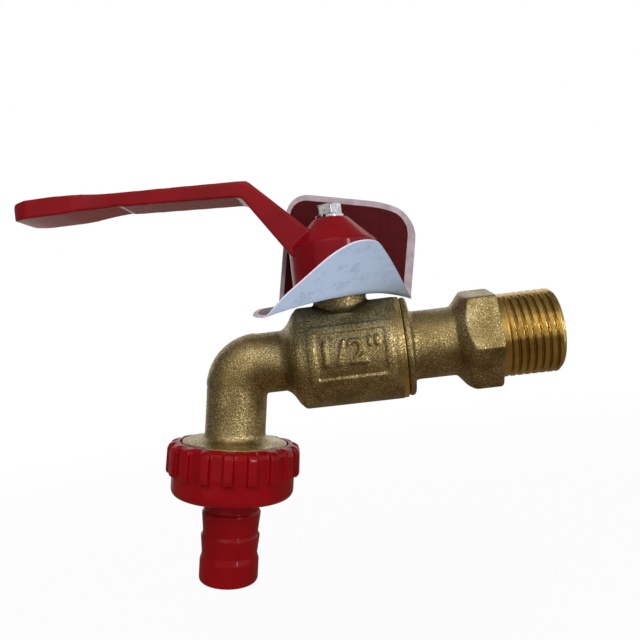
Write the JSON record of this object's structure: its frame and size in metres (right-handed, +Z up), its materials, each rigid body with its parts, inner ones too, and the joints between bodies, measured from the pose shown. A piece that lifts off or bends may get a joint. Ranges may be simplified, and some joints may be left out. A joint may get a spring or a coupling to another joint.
{
  "type": "hose tap",
  "caption": "Lever ball-valve hose tap with a male inlet thread, a bent spout, a ribbed hose nut and a barbed hose tail.",
  "frame": {"origin": "on the inlet axis, at the shoulder of the hexagon where the male inlet thread starts", "axes": "+X along the inlet, out of the tap and into the wall fitting; +Z up along the stem, towards the lever"},
  "size_m": [0.1346, 0.0557, 0.1054],
  "materials": {
    "forged_brass": "sand-blasted forging, dull gold with a fine grain",
    "turned_brass": "bright turned brass",
    "seat_plastic": "white low-friction plastic",
    "plated_steel": "bright plating",
    "red_paint": "glossy red powder coat on die-cast metal",
    "red_plastic": "glossy red moulding",
    "black_rubber": "matt black rubber",
    "printed_card": "white card, printed red on one side"
  },
  "bodies": {
    "valve": {"valve_body": "forged_brass", "inlet_tail": "turned_brass", "inlet_seat": "seat_plastic", "outlet_seat": "seat_plastic", "thrust_washer": "seat_plastic", "packing_ring": "seat_plastic", "gland_nut": "turned_brass"},
    "lever": {"lever": "red_paint", "stem": "turned_brass", "ball": "plated_steel", "spring_washer": "plated_steel", "handle_screw": "plated_steel", "tag": "printed_card"},
    "hose_tail": {"hose_tail": "red_plastic", "hose_washer": "black_rubber"},
    "hose_nut": {"hose_nut": "red_plastic"}
  },
  "joints": [
    {"name": "lever_turn", "type": "hinge", "parent": "valve", "child": "lever", "pos_m": [-0.0378, 0, 0], "axis": [0, 0, 1], "range_deg": [-90, 0]},
    {"name": "tail_drop", "type": "slide", "parent": "valve", "child": "hose_tail", "axis": [-0.1633, 0, -0.9866], "range_m": [0, 0.0082]},
    {"name": "nut_spin", "type": "hinge", "parent": "hose_tail", "child": "hose_nut", "pos_m": [-0.0659, 0, 0], "axis": [-0.1633, 0, -0.9866], "range_deg": [0, 1620]}
  ],
  "couplings": [
    {"joint": "tail_drop", "follows": "nut_spin", "m_per_rad": 0.00028871}
  ]
}
